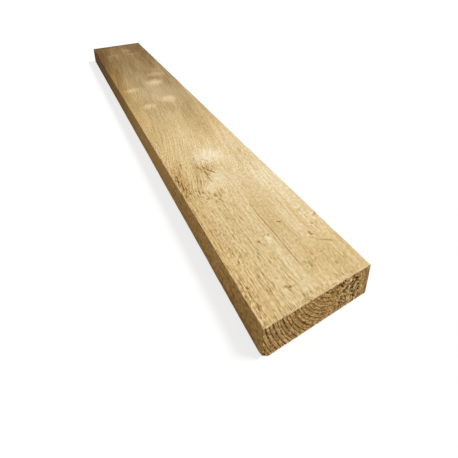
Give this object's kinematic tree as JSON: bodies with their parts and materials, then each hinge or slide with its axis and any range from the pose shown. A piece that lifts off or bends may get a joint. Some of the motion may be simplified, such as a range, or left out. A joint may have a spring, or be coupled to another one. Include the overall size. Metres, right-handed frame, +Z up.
{
  "type": "timber plank",
  "caption": "Rough-sawn softwood plank lying flat, with a rectangular section, square-cut ends, knots and a heart check in its upper face.",
  "frame": {"origin": "middle of the underside, where the plank rests", "axes": "+X across the width, +Y along the length away from the near end, +Z up through the thickness"},
  "size_m": [0.15, 1, 0.047],
  "materials": {
    "sawn_timber": "rough-sawn, unplaned and unfinished softwood"
  },
  "bodies": {
    "root": {"plank": "sawn_timber"}
  },
  "joints": []
}
